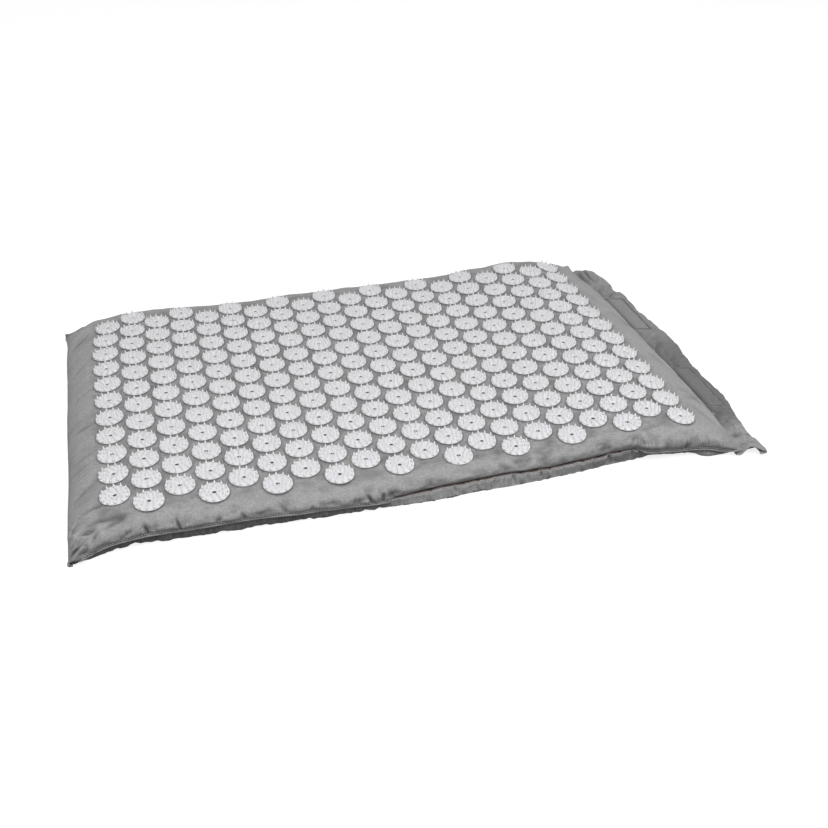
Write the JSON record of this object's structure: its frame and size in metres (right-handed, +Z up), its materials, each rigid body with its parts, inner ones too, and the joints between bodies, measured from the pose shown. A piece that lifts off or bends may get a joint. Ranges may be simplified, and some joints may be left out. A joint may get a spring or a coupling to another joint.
{
  "type": "acupressure mat",
  "caption": "Flat cotton-covered foam mat with staggered rows of white spiked plastic discs, a closure flap at one end and an opening in the front seam.",
  "frame": {"origin": "on the floor under the middle of the field of discs, on the flat underside", "axes": "+X along the mat towards the closure flap, +Y towards the back edge, +Z up; the front seam with the opening faces -Y"},
  "size_m": [0.6291, 0.415, 0.0386],
  "materials": {
    "cotton_top": "mid-grey plain-weave cotton, matt",
    "cotton_underside": "the same grey cotton on the sides and underside, matt",
    "foam": "open-cell foam, matt",
    "hook_tape": "woven tape with stiff hooks",
    "loop_tape": "napped loop tape",
    "disc_plastic": "cool white moulded plastic, satin"
  },
  "bodies": {
    "cover": {"top_panel": "cotton_top", "bottom_panel": "cotton_underside", "foam_core": "foam", "closure_lip": "cotton_underside", "loop_patch_front": "loop_tape", "loop_patch_back": "loop_tape", "spike_disc_01_01": "disc_plastic", "spike_disc_02_01": "disc_plastic", "spike_disc_03_01": "disc_plastic", "spike_disc_04_01": "disc_plastic", "spike_disc_05_01": "disc_plastic", "spike_disc_06_01": "disc_plastic", "spike_disc_07_01": "disc_plastic", "spike_disc_08_01": "disc_plastic", "spike_disc_09_01": "disc_plastic", "spike_disc_10_01": "disc_plastic", "spike_disc_11_01": "disc_plastic", "spike_disc_12_01": "disc_plastic", "spike_disc_13_01": "disc_plastic", "spike_disc_14_01": "disc_plastic", "spike_disc_15_01": "disc_plastic", "spike_disc_16_01": "disc_plastic", "spike_disc_17_01": "disc_plastic", "spike_disc_18_01": "disc_plastic", "spike_disc_19_01": "disc_plastic", "spike_disc_20_01": "disc_plastic"},
    "closure_flap": {"closure_flap": "cotton_top", "hook_patch_front": "hook_tape", "hook_patch_back": "hook_tape"},
    "front_lip": {"front_lip": "cotton_underside"}
  },
  "joints": [
    {"name": "closure_hinge", "type": "hinge", "parent": "cover", "child": "closure_flap", "pos_m": [0.29745, -0.002, 0.0115], "axis": [0, -1, 0], "range_deg": [0, 110]},
    {"name": "front_lip_hinge", "type": "hinge", "parent": "cover", "child": "front_lip", "pos_m": [0.089, -0.1885, 0.0028], "axis": [1, 0, 0], "range_deg": [0, 75]}
  ]
}
